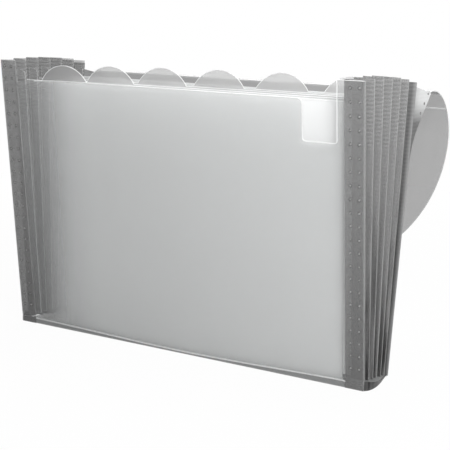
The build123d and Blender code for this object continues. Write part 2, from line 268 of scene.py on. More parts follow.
class StudioSettings(bpy.types.PropertyGroup):
    """Camera and lights."""

    camera_place: FloatVectorProperty(
        name="Camera", description="Camera position", default=(0.48798, -0.77259, 0.27616), unit="LENGTH")
    camera_yaw: angle("Yaw", "Camera turned left of the +Y axis", 30.786)
    camera_pitch: angle("Pitch", "Camera tilted down", 10.69)
    camera_roll: angle("Roll", "Camera turned about its own axis", 1.569)
    lens: FloatProperty(
        name="Lens", description="Focal length on a 36 mm frame", default=91.14, unit="CAMERA")
    sky: FloatProperty(
        name="Sky", description="Strength of the even light from all round", default=0.08, min=0)
    light_aim: FloatVectorProperty(
        name="Light aim", description="Where the lights point", default=(0.0, 0.0, 0.13), unit="LENGTH")
    key_power: power("Key light", "the key light", 13.2)
    top_power: power("Top light", "the top light", 7.4)
    fill_power: power("Back fill", "the soft light from behind", 5.0)


class Fan:
    """Places on the open file: its leaning panels, and the back sheet with its roll."""

    def __init__(self, sizes):
        self.sizes = sizes
        self.depth = 2 * REAR_CREASE_Y
        self.valley_x = sizes.half_width - sizes.pleat_depth
        self.strip_edge = sizes.half_width - sizes.strip_width
        self.cover_half = sizes.half_width - sizes.gusset_sheet / 2 - sizes.seat_gap
        self.divider_half = self.valley_x - sizes.gusset_sheet / 2 - sizes.seat_gap
        self.strip_out = (sizes.cover_sheet + sizes.gusset_sheet) / 2
        self.tilt_start = sizes.panel_top - sizes.tilt_drop
        shoulder_start = sizes.panel_top - sizes.shoulder_drop
        self.shoulder_end = shoulder_start + sizes.shoulder_radius * sizes.shoulder_turn
        roll_turn = pi - sizes.lean - sizes.tilt_turn - sizes.shoulder_turn
        self.bends = (
            (self.tilt_start, sizes.tilt_radius, sizes.tilt_turn),
            (shoulder_start, sizes.shoulder_radius, sizes.shoulder_turn),
            (self.shoulder_end, sizes.roll_radius, roll_turn),
        )
        self.first_crease = sizes.panel_top + sizes.roll_reach
        self.second_crease = self.first_crease + sizes.bridge_width
        self.flap_tip = self.second_crease + sizes.flap_length

    def foot(self, share):
        """Height of the gussets' lower edge above the creases; it falls towards the back."""
        return self.sizes.gusset_foot - self.sizes.foot_drop * share

    def sinks(self, share):
        """How far a panel goes down when the file is shut."""
        return self.depth * self.sizes.lean * share * (1 - share)

    def ridge(self, number):
        """Share of the fan at an outer fold, from 0 at the front cover to 1 at the back cover."""
        return number / (POCKETS - 1)

    def valley(self, number):
        """Share of the fan at the inner fold that carries a divider."""
        return (number - 0.5) / (POCKETS - 1)

    def tab_x(self, number):
        """Middle of an index tab; the first tabs are closer together than the last ones."""
        sizes = self.sizes
        first = -self.divider_half + sizes.tab_left + sizes.tab_chord / 2
        last = self.divider_half - sizes.tab_right - sizes.tab_chord / 2
        step = (number - 1) / (POCKETS - 2)
        return first + (last - first) * (step - sizes.tab_ease * step * (1 - step))

    def point(self, share, x, up, out=0.0):
        """Point of a leaning panel: up from its crease, and out behind its middle plane."""
        lean = self.sizes.lean * (2 * share - 1)
        y = self.depth * (share - 0.5) + up * sin(lean) + out * cos(lean)
        return Vector((x, y, CREASE_HEIGHT + up * cos(lean) - out * sin(lean)))

    def back_lean(self, up):
        """Lean of the back sheet from upright, at a place along it."""
        turns = [min(max(up - start, 0.0) / radius, turn) for start, radius, turn in self.bends]
        return self.sizes.lean + sum(turns)

    def back_normal(self, up):
        """Direction from the back sheet towards its outer face."""
        return Vector((0, cos(self.back_lean(up)), -sin(self.back_lean(up))))

    def back_along(self, up):
        """Direction along the back sheet, away from the rear crease."""
        return Vector((0, sin(self.back_lean(up)), cos(self.back_lean(up))))

    def back_point(self, x, up, out=0.0):
        """Point of the back sheet, up along it from the rear crease, over its bends to the flap."""
        point = self.point(1, x, 0)
        place = 0.0
        for start, radius, turn in self.bends:
            if up <= start:
                break
            end = min(up, start + radius * turn)
            point += self.back_along(place) * (start - place)
            point += (self.back_normal(start) - self.back_normal(end)) * radius
            place = end
        return point + self.back_along(place) * (up - place) + self.back_normal(up) * out

    def back_heights(self, low, high, extra=()):
        """Places along the back sheet, close together in its bends."""
        ends = [stop for start, radius, turn in self.bends for stop in (start, start + radius * turn)]
        stops = sorted({low, high} | {stop for stop in (*ends, *extra) if low < stop < high})
        heights = [low]
        for first, last in zip(stops, stops[1:]):
            turn = self.back_lean(last) - self.back_lean(first)
            heights += steps(first, last, 1 + int(turn / BEND_STEP))[1:]
        return heights

    def front_crease(self, x):
        """Height of the front crease above its axis; it dips in the middle and is higher at the right."""
        share = min(abs(x) / self.cover_half, 1.0)
        rise = self.sizes.base_rise * share ** 2 if 0 < x < self.strip_edge else 0.0
        return rise - self.sizes.base_dip * cos(share * pi / 2) ** 2

    def crease_steps(self):
        """Places across the base and the front cover."""
        return steps(-self.cover_half, self.cover_half, 96)


def steps(low, high, count):
    """Even steps from low to high, both included."""
    return [low + (high - low) * step / count for step in range(count + 1)]


def arc(centre, radius, start, end, count):
    """Points of a round stretch of an outline, between two angles in degrees."""
    turns = [radians(turn) for turn in steps(start, end, count)]
    return [(centre[0] + radius * cos(turn), centre[1] + radius * sin(turn)) for turn in turns]


def linear(hex_colour):
    """Linear RGBA of an sRGB hex colour."""
    parts = [int(hex_colour[place:place + 2], 16) / 255 for place in (1, 3, 5)]
    return [c / 12.92 if c <= 0.04045 else ((c + 0.055) / 1.055) ** 2.4 for c in parts] + [1.0]


def shade(colour, factor):
    """Colour made darker or lighter."""
    return [min(channel * factor, 1.0) for channel in colour[:3]] + [1.0]


def face_alpha(stopped):
    """Alpha of each of a sheet's two faces that together stop this share of the light."""
    return 1 - sqrt(1 - stopped)


def add_node(tree, kind, settings=(), **inputs):
    """Add a node and set its properties, then set its inputs or link them to a socket or to another node.

    Inputs go by name, with spaces as underscores, or by number, as in _0.
    A node gives its first output in use.
    """
    node = tree.nodes.new(kind)
    for name, value in dict(settings).items():
        setattr(node, name, value)
    for name, value in inputs.items():
        if name[1:].isdigit():
            socket = node.inputs[int(name[1:])]
        else:
            socket = next(s for s in node.inputs if s.enabled and s.name == name.replace("_", " "))
        if isinstance(value, bpy.types.Node):
            value = next(s for s in value.outputs if s.enabled)
        if isinstance(value, bpy.types.NodeSocket):
            tree.links.new(value, socket)
        else:
            socket.default_value = value
    return node


def new_material(name):
    """Node material with an empty tree."""
    material = bpy.data.materials.new(name)
    material.use_nodes = True
    material.node_tree.nodes.clear()
    return material, material.node_tree


def smoke_sheet(name, colour, stopped, edge_colour, hatch_depth=0.86):
    """Smoke polypropylene, extruded and embossed: a clear grey sheet that a fine diagonal hatch dulls.

    The real hatch is about 0.4 mm apart, and is drawn at 1.4 mm so that it shows. Clouds are 90 mm wide.
    """
    tree = new_material(name)[1]
    base = linear(colour)
    coords = add_node(tree, "ShaderNodeTexCoord").outputs["Object"]
    hatch = add_node(
        tree, "ShaderNodeTexWave", {"bands_direction": "DIAGONAL"}, Vector=coords, Scale=BAND / 0.0014,
        Distortion=0.6).outputs["Fac"]
    cloud = add_node(tree, "ShaderNodeTexNoise", Vector=coords, Scale=1 / 0.09, Detail=3.0)
    clouded = add_node(tree, "ShaderNodeMix", RGBA, Factor=cloud, A=shade(base, 0.93), B=base)
    hatched = add_node(tree, "ShaderNodeMix", RGBA, Factor=hatch, A=shade(base, hatch_depth), B=clouded)
    fold = add_node(tree, "ShaderNodeAttribute", {"attribute_name": FOLD_MARK}).outputs["Fac"]
    whitened = add_node(tree, "ShaderNodeMix", RGBA, Factor=fold, A=hatched, B=linear(edge_colour))
    bump = add_node(tree, "ShaderNodeBump", Strength=1 - hatch_depth, Distance=0.0002, Height=hatch)
    shader = add_node(
        tree, "ShaderNodeBsdfPrincipled", Base_Color=whitened, Roughness=0.37, IOR=IOR,
        Alpha=face_alpha(stopped), Normal=bump)
    add_node(tree, "ShaderNodeOutputMaterial", Surface=shader)


def gusset_sheet(name, colour, stopped, height, edge_colour, ribbed=True, painted_top_light=1.0):
    """Smoke polypropylene, pleated: fine ribs across, streaks along, folds whitened by stretching and, on the
    lit side's outer folds, by a painted highlight.

    The sheets are painted darker towards the base and lighter towards the top, as shade where they lie close
    together, and the foot finish gets more painted light at its top. The real ribs are under 1 mm apart;
    their pale and dark bands are painted shade of the ribs, drawn 3 mm apart so that they show. Streaks are
    about
    3 mm wide and 150 mm long, and specks 1.6 mm wide.
    """
    tree = new_material(name)[1]
    base = linear(colour)
    coords = add_node(tree, "ShaderNodeTexCoord").outputs["Object"]
    up = add_node(tree, "ShaderNodeSeparateXYZ", Vector=coords).outputs["Z"]
    # painted shade: the sheet is darker towards the base and lighter towards the top
    level = add_node(tree, "ShaderNodeMapRange", SMOOTH, Value=up, From_Min=0.0, From_Max=height)
    rib = add_node(
        tree, "ShaderNodeTexWave", {"bands_direction": "Z"}, Vector=coords, Scale=BAND / 0.003,
        Distortion=0.05).outputs["Fac"]
    if ribbed:
        along = add_node(tree, "ShaderNodeMapping", Vector=coords, Scale=(1 / 0.003, 1 / 0.003, 1 / 0.15))
        flow = add_node(tree, "ShaderNodeTexNoise", Vector=along, Scale=1.0, Detail=4.0)
        streak = add_node(tree, "ShaderNodeMapRange", SMOOTH, Value=flow, From_Min=0.35, From_Max=0.65)
        tones = ((streak, 0.25, 1.1), (rib, 1.2 * painted_top_light, 1.6 * painted_top_light))
    else:
        grain = add_node(tree, "ShaderNodeTexNoise", Vector=coords, Scale=1 / 0.0016)
        speck = add_node(tree, "ShaderNodeMapRange", SMOOTH, Value=grain, From_Min=0.35, From_Max=0.7)
        tones = ((speck, 0.68, 0.82), (speck, 0.95, 1.1))
    low, high = [
        add_node(tree, "ShaderNodeMix", RGBA, Factor=factor, A=shade(base, dark), B=shade(base, light))
        for factor, dark, light in tones]
    painted_height_shade = add_node(tree, "ShaderNodeMix", RGBA, Factor=level, A=low, B=high)
    fold = add_node(tree, "ShaderNodeAttribute", {"attribute_name": FOLD_MARK}).outputs["Fac"]
    whitened = add_node(tree, "ShaderNodeMix", RGBA, Factor=fold, A=painted_height_shade, B=linear(edge_colour))
    bump = add_node(tree, "ShaderNodeBump", Strength=0.25 if ribbed else 0.1, Distance=0.0003, Height=rib)
    shader = add_node(
        tree, "ShaderNodeBsdfPrincipled", Base_Color=whitened, Roughness=0.34, Specular_IOR_Level=0.25,
        Alpha=face_alpha(stopped), Normal=bump)
    add_node(tree, "ShaderNodeOutputMaterial", Surface=shader)


def milky_sheet(name, fan, finishes):
    """Natural polypropylene, extruded: milky and soft, greyer in the tabs, clear along the left margin.

    Its clouds are about 60 mm wide.
    """
    tree = new_material(name)[1]
    coords = add_node(tree, "ShaderNodeTexCoord").outputs["Object"]
    place = add_node(tree, "ShaderNodeSeparateXYZ", Vector=coords).outputs
    left = -fan.divider_half
    tab_foot = CREASE_HEIGHT + fan.sizes.panel_top - fan.sizes.divider_drop
    tab_start, tab_end = [tab_foot - below for below in TAB_FOOT_SHADE]
    tab = add_node(
        tree, "ShaderNodeMapRange", SMOOTH, Value=place["Z"], From_Min=tab_start, From_Max=tab_end)
    base = linear(finishes.milky_tint)
    cloud = add_node(tree, "ShaderNodeTexNoise", Vector=coords, Scale=1 / 0.06, Detail=3.0)
    clouded = add_node(tree, "ShaderNodeMix", RGBA, Factor=cloud, A=shade(base, 0.95), B=base)
    inside = add_node(
        tree, "ShaderNodeMapRange", SMOOTH, Value=place["X"], From_Min=left, From_Max=left + MARGIN_SHADE)
    body = add_node(tree, "ShaderNodeMix", RGBA, Factor=inside, A=linear(finishes.margin_tint), B=clouded)
    along = add_node(
        tree, "ShaderNodeMapRange", SMOOTH, Value=place["X"], From_Min=FIRST_TAB_SHADE[0],
        From_Max=FIRST_TAB_SHADE[1])
    tabs = add_node(
        tree, "ShaderNodeMix", RGBA, Factor=along, A=linear(finishes.first_tab_tint),
        B=linear(finishes.tab_tint))
    colour = add_node(tree, "ShaderNodeMix", RGBA, Factor=tab, A=body, B=tabs)
    below = add_node(
        tree, "ShaderNodeMapRange", SMOOTH, Value=place["X"], From_Min=left,
        From_Max=left + finishes.margin_left, To_Min=face_alpha(finishes.margin_opacity),
        To_Max=face_alpha(finishes.milky_opacity))
    above = add_node(
        tree, "ShaderNodeMapRange", SMOOTH, Value=place["X"], From_Min=left - TONGUE_STEP, From_Max=left,
        To_Min=face_alpha(finishes.tongue_opacity), To_Max=face_alpha(finishes.tab_opacity))
    alpha = add_node(tree, "ShaderNodeMix", {"data_type": "FLOAT"}, Factor=tab, A=below, B=above)
    shader = add_node(
        tree, "ShaderNodeBsdfPrincipled", Base_Color=colour, Roughness=0.42, IOR=IOR, Alpha=alpha)
    add_node(tree, "ShaderNodeOutputMaterial", Surface=shader)


def cut_edge(name, colour, alpha):
    """Cut edge of polypropylene sheet, which gathers light and looks pale, with nicks about 3 mm apart."""
    tree = new_material(name)[1]
    base = linear(colour)
    coords = add_node(tree, "ShaderNodeTexCoord").outputs["Object"]
    nick = add_node(tree, "ShaderNodeTexNoise", Vector=coords, Scale=1 / 0.003)
    nicked = add_node(tree, "ShaderNodeMix", RGBA, Factor=nick, A=shade(base, 0.85), B=base)
    shader = add_node(
        tree, "ShaderNodeBsdfPrincipled", Base_Color=nicked, Roughness=0.3, IOR=IOR, Alpha=alpha)
    add_node(tree, "ShaderNodeOutputMaterial", Surface=shader)


def fused_spot(name, colour):
    """Polypropylene fused by a hot point: glossy, with painted shade on its rim round a painted highlight in
    its middle.
    """
    tree = new_material(name)[1]
    base = linear(colour)
    middle = add_node(tree, "ShaderNodeAttribute", {"attribute_name": SPOT_MIDDLE}).outputs["Fac"]
    painted_dome_light = add_node(tree, "ShaderNodeMix", RGBA, Factor=middle, A=shade(base, 0.4), B=shade(base, 1.8))
    shader = add_node(
        tree, "ShaderNodeBsdfPrincipled", Base_Color=painted_dome_light, Roughness=0.16, IOR=IOR, Alpha=0.85)
    add_node(tree, "ShaderNodeOutputMaterial", Surface=shader)


def make_finishes(context):
    """Make each of the file's finishes."""
    sizes = context.scene.file_sizes
    look = context.scene.file_finishes
    height, edge = sizes.panel_top, look.edge_tint
    cut_edge(FINISHES["edge"], edge, 0.9)
    cut_edge(FINISHES["slit"], look.slit_tint, 0.6)
    fused_spot(FINISHES["spot"], look.gusset_tint)
    milky_sheet(FINISHES["milky"], Fan(sizes), look)
    gusset_sheet(FINISHES["gusset"], look.gusset_tint, look.gusset_opacity, height, edge)
    gusset_sheet(FINISHES["strip"], look.strip_tint, look.strip_opacity, height, edge, ribbed=False)
    # dark copy of the gusset as painted shade, with extra painted light at its top
    gusset_sheet(FINISHES["foot"], look.painted_shade_tint, look.foot_opacity, height, edge, painted_top_light=1.5)
    smoke_sheet(FINISHES["front"], look.front_tint, look.front_opacity, edge, hatch_depth=1.0)
    smoke_sheet(FINISHES["flap"], look.flap_tint, look.flap_opacity, edge)
    smoke_sheet(FINISHES["back"], look.back_tint, look.back_opacity, edge)
    smoke_sheet(FINISHES["base"], look.base_tint, look.base_opacity, edge)


def workbench(context):
    """The sizes, the fan that they give, and the finishes by plain name, made once."""
    sizes = context.scene.file_sizes
    if FINISHES["edge"] not in bpy.data.materials:
        make_finishes(context)
    return sizes, Fan(sizes), {key: bpy.data.materials[name] for key, name in FINISHES.items()}


def add_object(name, mesh):
    """Put a mesh in the scene as an object at the origin."""
    obj = bpy.data.objects.new(name, mesh)
    bpy.context.scene.collection.objects.link(obj)
    return obj


def plain_mesh(obj):
    """Replace an object's mesh by its evaluated one and drop the modifiers."""
    graph = bpy.context.evaluated_depsgraph_get()
    mesh = bpy.data.meshes.new_from_object(obj.evaluated_get(graph))
    obj.modifiers.clear()
    obj.data = mesh
    return mesh


def smooth_faces(mesh):
    """Shade a mesh smooth but at its sharp corners."""
    mesh.shade_smooth()
    mesh.set_sharp_from_angle(angle=SHARP_CORNER)


def thicken(name, mesh, thickness, finish, edge, joined=None):
    """Give a sheet its thickness, with pale cut edges but where it is joined to the next sheet.

    The joined edges are told by a function of their direction.
    """
    obj = add_object(name, mesh)
    mesh.materials.append(finish)
    mesh.materials.append(edge)
    solidify = obj.modifiers.new("sheet", "SOLIDIFY")
    solidify.thickness = thickness
    solidify.offset = 0
    solidify.use_even_offset = True
    solidify.material_offset_rim = 1
    mesh = plain_mesh(obj)
    shell = bmesh.new()
    shell.from_mesh(mesh)
    bmesh.ops.recalc_face_normals(shell, faces=shell.faces)
    for face in shell.faces:
        if joined and joined(face.normal):
            face.material_index = 0
    shell.to_mesh(mesh)
    shell.free()
    smooth_faces(mesh)
    return obj


def grid_sheet(name, grids, thickness, finish, edge, marks=None, joined=None):
    """Sheet through grids of points, each a list of rows, with a fold mark for each point."""
    points, faces = [], []
    for rows in grids:
        width = len(rows[0])
        start = len(points)
        for row in range(len(rows) - 1):
            for column in range(width - 1):
                corner = start + row * width + column
                faces.append((corner, corner + 1, corner + width + 1, corner + width))
        points += [point for row in rows for point in row]
    mesh = bpy.data.meshes.new(name)
    mesh.from_pydata(points, [], faces)
    if marks:
        fold = mesh.attributes.new(FOLD_MARK, "FLOAT", "POINT")
        fold.data.foreach_set("value", marks)
    return thicken(name, mesh, thickness, finish, edge, joined)


def outline_sheet(name, outline, place, thickness, finish, edge, pale):
    """Flat sheet of a closed outline of (across, up) points, set in place by a function.

    Its border is pale where the function pale, of a point on it, is true.
    """
    mesh = bpy.data.meshes.new(name)
    shape = bmesh.new()
    face = shape.faces.new([shape.verts.new(place(across, up)) for across, up in outline])
    shape.normal_update()
    rim = bmesh.ops.inset_region(
        shape, faces=[face], thickness=EDGE_WIDTH, use_boundary=True, use_even_offset=True)
    for face in rim["faces"]:
        face.material_index = int(pale(face.calc_center_median()))
    shape.to_mesh(mesh)
    shape.free()
    return thicken(name, mesh, thickness, finish, edge, joined=lambda normal: abs(normal.x) > 0.9)


def replace_node(obj, node, body):
    """Let a piece stand for a solid of the same place, on its body."""
    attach(obj, body)
    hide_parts(node)


def blend_across(fan, obj, pocket, node):
    """Let a piece stand for its solid, with its place baked into its mesh.

    The ends of a blend along the normal of the panel midway, which would keep a pleat's folds on their
    panels, are worked out, but no blend is set.
    """
    front_share = 0 if pocket == 1 else fan.valley(pocket - 1)
    rear_share = 1 if pocket == POCKETS else fan.valley(pocket)
    middle = (front_share + rear_share) / 2
    level = BLEND_LEVEL * fan.sizes.panel_top
    half_gap = (fan.depth / 2 + level * fan.sizes.lean) * (rear_share - front_share)
    start = fan.point(middle, 0, level, -half_gap)
    end = fan.point(middle, 0, level, half_gap)
    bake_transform(obj)
    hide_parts(node)


def pleat_columns(fan, pocket, side, up, bulge):
    """Points and fold marks across one pocket's pleat, from its front fold to its rear fold."""
    sizes = fan.sizes
    half_round = sizes.fold_round
    lift = FOLD_LIFT * half_round

    def fold(share, x, outs, towards):
        """Points round a fold, which stands a little proud."""
        found = []
        for out in outs:
            proud = towards * lift * (1 - (out / half_round) ** 2)
            # the right gusset's outer folds carry a painted highlight as well as their whitening
            white = OUTER_FOLD_WHITE_AND_HIGHLIGHT[side] if towards > 0 else INNER_FOLD_WHITE
            mark = (1 - abs(out) / half_round) * white
            found.append((fan.point(share, side * (x + proud), up, out), mark))
        return found

    def beside_cover(share, outs):
        """Points round the fold beside a cover."""
        places = [fan.point(share, side * sizes.half_width, up, out) for out in outs]
        return list(zip(places, COVER_FOLD_WHITE))

    def panel(before, after):
        """Points of a flat panel between two folds, with its slight bulge."""
        start, end = before[-1][0], after[0][0]
        run = end - start
        normal = run.cross(Vector((0, 0, 1))).normalized() * side
        across = steps(0, 1, 8)[1:-1]
        return [(start + run * t + normal * (bulge * sin(pi * t)), 0.0) for t in across]

    half = [0.0, half_round * 0.6, half_round]
    mirrored = [-out for out in reversed(half)]
    front = fold(fan.valley(pocket - 1), fan.valley_x, half, -1)
    rear = fold(fan.valley(pocket), fan.valley_x, mirrored, -1)
    strip_out, behind = fan.strip_out, fan.strip_out + sizes.seat_gap
    if pocket == 1:
        front = beside_cover(0, (-strip_out, -0.4 * strip_out, 0.4 * behind, behind))
        return front + panel(front, rear) + rear
    if pocket == POCKETS:
        rear = beside_cover(1, (-behind, -0.4 * behind, 0.4 * strip_out, strip_out))
        return front + panel(front, rear) + rear
    ridge = fold(fan.ridge(pocket - 1), sizes.half_width, mirrored[:-1] + half, 1)
    return front + panel(front, ridge) + ridge + panel(ridge, rear) + rear


def pleat_heights(fan, pocket):
    """Heights of a pleat's rows; the pleats towards the back sag a little."""
    middle = (POCKETS - 1) / 2
    sag = fan.sizes.gusset_sag * (max(pocket - middle, 0) / (POCKETS - middle)) ** 2
    return steps(fan.foot(fan.ridge(pocket - 1)), fan.sizes.panel_top - sag, 36)


def web_rows(fan, side):
    """Rows and marks of the last pleat's web, from its upright ridge to the edge of the tilted back cover.

    It is whitened towards the top as a painted highlight, where it faces the light, and on the left side only
    a fifth as much.
    """
    top = fan.sizes.panel_top
    x = side * fan.sizes.half_width
    low = fan.tilt_start + WEB_LEAD
    rows, marks = [], []
    for level in steps(0, 1, 16):
        ridge = fan.point(1, x, low + (top - WEB_DROP - low) * level, fan.strip_out)
        edge = fan.back_point(x, low + (top - low) * level, fan.strip_out)
        painted_light_share = min(max((level - WEB_HIGHLIGHT_START) / WEB_HIGHLIGHT_RUN, 0.0), 1.0)
        white = painted_light_share * OUTER_FOLD_WHITE_AND_HIGHLIGHT[side] / OUTER_FOLD_WHITE_AND_HIGHLIGHT[1]
        rows.append([ridge.lerp(edge, share) for share, _ in WEB_HIGHLIGHT_COLUMNS])
        marks += [white * part for _, part in WEB_HIGHLIGHT_COLUMNS]
    return rows, marks


def flange_rows(fan, number, side):
    """Rows of a divider's margin, which lies inside the rear panel of its pleat and has a round top."""
    sizes = fan.sizes
    foot = sizes.gusset_foot + FLANGE_FOOT
    clear = (sizes.gusset_sheet + sizes.divider_sheet) / 2 + WELD_FILM
    share, ridge = fan.valley(number), fan.ridge(number - 1)
    ridge_out = fan.strip_out + sizes.seat_gap if number == 1 else sizes.fold_round
    crown = FLANGE_START + FLANGE_CORNER
    across = [crown - FLANGE_CORNER * cos(radians(turn)) for turn in steps(10, 90, 6)]
    across += steps(crown, sizes.flange_width, 3)[1:]
    rows = []
    for level in steps(0, 1, 30):
        row = []
        for reach in across:
            drop = FLANGE_CORNER - sqrt(FLANGE_CORNER ** 2 - max(crown - reach, 0.0) ** 2)
            up = foot + (sizes.panel_top - sizes.flange_drop - drop - foot) * level
            valley = fan.point(share, side * fan.valley_x, up, -sizes.fold_round)
            run = (fan.point(ridge, side * sizes.half_width, up, ridge_out) - valley).normalized()
            inward = Vector((-side * abs(run.y), -abs(run.x), 0))
            row.append(valley + run * reach + inward * clear)
        rows.append(row)
    return rows


class MakeBase(bpy.types.Operator):
    """Base of the cover sheet, with both long edges turned up, and the strips' feet on it"""

    bl_idname = "document_file.make_base"
    bl_label = "Base"

    def execute(self, context):
        sizes, fan, finish = workbench(context)
        half_depth = fan.depth / 2
        bend_height = sizes.cover_sheet / 2 + BASE_BEND
        top = CREASE_HEIGHT - sizes.crease_gap
        rows, marks = [], []
        for x in fan.crease_steps():
            front_top = top + fan.front_crease(x)
            section = [(-half_depth, front_top - below) for below in BASE_EDGE_ROWS]
            section += arc((-half_depth + BASE_BEND, bend_height), BASE_BEND, 180, 270, 6)
            section += arc((half_depth - BASE_BEND, bend_height), BASE_BEND, 270, 360, 6)
            section.append((half_depth, top))
            rows.append([Vector((x, y, z)) for y, z in section])
            marks += [*BASE_EDGE_WHITE] + [0.0] * (len(section) - len(BASE_EDGE_WHITE))
        base = grid_sheet("base_sheet", [rows], sizes.cover_sheet, finish["base"], finish["edge"], marks)
        replace_node(base, "base_trough", "base")
        self.make_feet(fan, finish)
        return {"FINISHED"}

    def make_feet(self, fan, finish):
        """Feet of the gussets: the strips' ends on the base's edges, and the folds' ends between them."""
        sizes = fan.sizes
        reach = fan.depth / 2 + fan.strip_out
        front = (-reach - STRIP_FOOT_OUT, CREASE_HEIGHT + STRIP_FOOT_LAP)
        rear = (reach, CREASE_HEIGHT - sizes.crease_gap)
        across = steps(fan.strip_edge, sizes.half_width, 6)
        for name, side in SIDES:
            strips = [
                [[Vector((side * x, y, z)) for x in across] for z in steps(FEET_LEVEL, top, 3)]
                for y, top in (front, rear)]
            columns = []
            for share in steps(0, 1, 20):
                bulge = FOLD_FOOT_BULGE * sin(pi * share ** FOLD_FOOT_SKEW) - FOLD_FOOT_TAPER * share
                x = side * (sizes.half_width + bulge)
                y = (2 * share - 1) * (reach - FOLD_FOOT_INSET)
                top = CREASE_HEIGHT + fan.foot(share) - fan.sinks(share) - FOLD_FOOT_GAP
                columns.append([Vector((x, y, z)) for z in steps(FEET_LEVEL, top, 3)])
            folds = [[list(row) for row in zip(*columns)]]
            # the fold feet get the dark foot finish, painted shade in the trough's ends
            for part, grids, look in (("strip_feet", strips, "strip"), ("fold_feet", folds, "foot")):
                foot = grid_sheet(f"{name}_{part}", grids, sizes.gusset_sheet, finish[look], finish[look])
                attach(foot, "base")


class MakeFrontCover(bpy.types.Operator):
    """Front cover with its notch"""

    bl_idname = "document_file.make_front_cover"
    bl_label = "Front cover"

    def execute(self, context):
        sizes, fan, finish = workbench(context)
        top = sizes.panel_top
        edge = top - sizes.cover_drop
        inside = fan.strip_edge
        right = inside - sizes.notch_post
        left = right - sizes.notch_width
        floor = edge - sizes.notch_depth
        low, lead = NOTCH_CORNER, NOTCH_LEAD_CORNER
        outline = [(x, fan.front_crease(x) + sizes.crease_gap) for x in fan.crease_steps()]
        outline += [(fan.cover_half, top), (right, top)]
        outline += arc((right - low, floor + low), low, 0, -90, 5)
        outline += arc((left + low, floor + low), low, 270, 180, 5)
        outline += arc((left - lead, edge - lead), lead, 0, 90, 6)
        for share in steps(0, 1, 6):
            outline.append((-inside + SAG_REACH * (1 - share), edge - sizes.cover_sag * share ** 2))
        outline += [(-inside, top), (-fan.cover_half, top)]

        def pale(point):
            """True at the top edge and the notch, between the strips."""
            return point.z > floor / 2 and PALE_LEAD - inside < point.x < inside - PALE_INSET

        cover = outline_sheet(
            "front_cover_sheet", outline, lambda x, up: fan.point(0, x, up), sizes.cover_sheet,
            finish["front"], finish["edge"], pale)
        replace_node(cover, "front_cover", "front_cover")
        return {"FINISHED"}


class MakeBackSheet(bpy.types.Operator):
    """Back cover with its roll, the bridge between the flap's creases, and the flap"""

    bl_idname = "document_file.make_back_sheet"
    bl_label = "Back cover and flap"

    def execute(self, context):
        sizes, fan, finish = workbench(context)
        gap, corner = sizes.crease_gap, sizes.flap_corner
        first, second, tip = fan.first_crease, fan.second_crease, fan.flap_tip
        tip_height = fan.back_point(0, tip).z

        def half_width(up):
            """Half of the sheet's width, which the flap's round corners narrow."""
            height = fan.back_point(0, up).z - tip_height
            past = max(corner - height, 0.0) if up > second else 0.0
            return fan.cover_half - corner + sqrt(max(corner ** 2 - past ** 2, 0.0))

        border = 1 - CREASE_LINE / fan.cover_half
        across = [-1, -border, -0.5, 0, 0.5, border, 1]
        shoulder = [fan.shoulder_end - before for before in SHOULDER_LINE]
        creases = [crease + shift for crease in (first, second) for shift in (-CREASE_LINE, CREASE_LINE)]
        hanging = [tip - corner * (1 - sin(radians(turn))) for turn in steps(0, 90, 40)]
        for node, low, high, extra, look, white in (
            ("back_cover", gap, first - gap, creases + shoulder, "back", BACK_CREASE_WHITE),
            ("flap_bridge", first + gap, second - gap, creases, "flap", FLAP_CREASE_WHITE),
            ("flap", second + gap, tip, creases + hanging, "flap", FLAP_CREASE_WHITE),
        ):
            heights = fan.back_heights(low, high, extra)
            rows = [[fan.back_point(half_width(up) * share, up) for share in across] for up in heights]
            marks = []
            for up in heights:
                near = min(abs(up - first), abs(up - second))
                creased = near < CREASE_LINE * 0.9 or up in shoulder
                marks += [white if creased or abs(share) == 1 else 0.0 for share in across]
            sheet = grid_sheet(
                f"{node}_sheet", [rows], sizes.cover_sheet, finish[look], finish["edge"], marks)
            replace_node(sheet, node, node)
        return {"FINISHED"}


class MakeDividers(bpy.types.Operator):
    """Milky dividers with stepped index tabs, and their side flanges inside the pleats"""

    bl_idname = "document_file.make_dividers"
    bl_label = "Dividers"

    def execute(self, context):
        sizes, fan, finish = workbench(context)
        top = sizes.panel_top - sizes.divider_drop
        half = fan.divider_half
        radius = (sizes.tab_chord ** 2 / 4 + sizes.tab_height ** 2) / (2 * sizes.tab_height)
        tab_end = 90 - degrees(asin(sizes.tab_chord / 2 / radius))
        for number in range(1, POCKETS):
            share = fan.valley(number)
            foot = sizes.cover_sheet + DIVIDER_GAP + fan.sinks(share) - CREASE_HEIGHT
            edge_height = fan.point(share, 0, top).z
            tab_middle = (fan.tab_x(number), top - radius + sizes.tab_height)
            outline = [(-half, foot), (half, foot), (half, top)]
            outline += arc(tab_middle, radius, tab_end, 180 - tab_end, 24)
            outline += [(-half, top)]
            divider = outline_sheet(
                f"divider_{number}_sheet", outline, lambda x, up: fan.point(share, x, up),
                sizes.divider_sheet, finish["milky"], finish["edge"],
                pale=lambda point: point.z > edge_height - 2 * EDGE_WIDTH)
            replace_node(divider, f"divider_{number}", f"divider_{number}")
            grids = [flange_rows(fan, number, side) for _, side in SIDES]
            flanges = grid_sheet(
                f"divider_{number}_margins", grids, sizes.divider_sheet, finish["milky"], finish["edge"])
            blend_across(fan, flanges, number, f"divider_{number}_side_flanges")
        return {"FINISHED"}


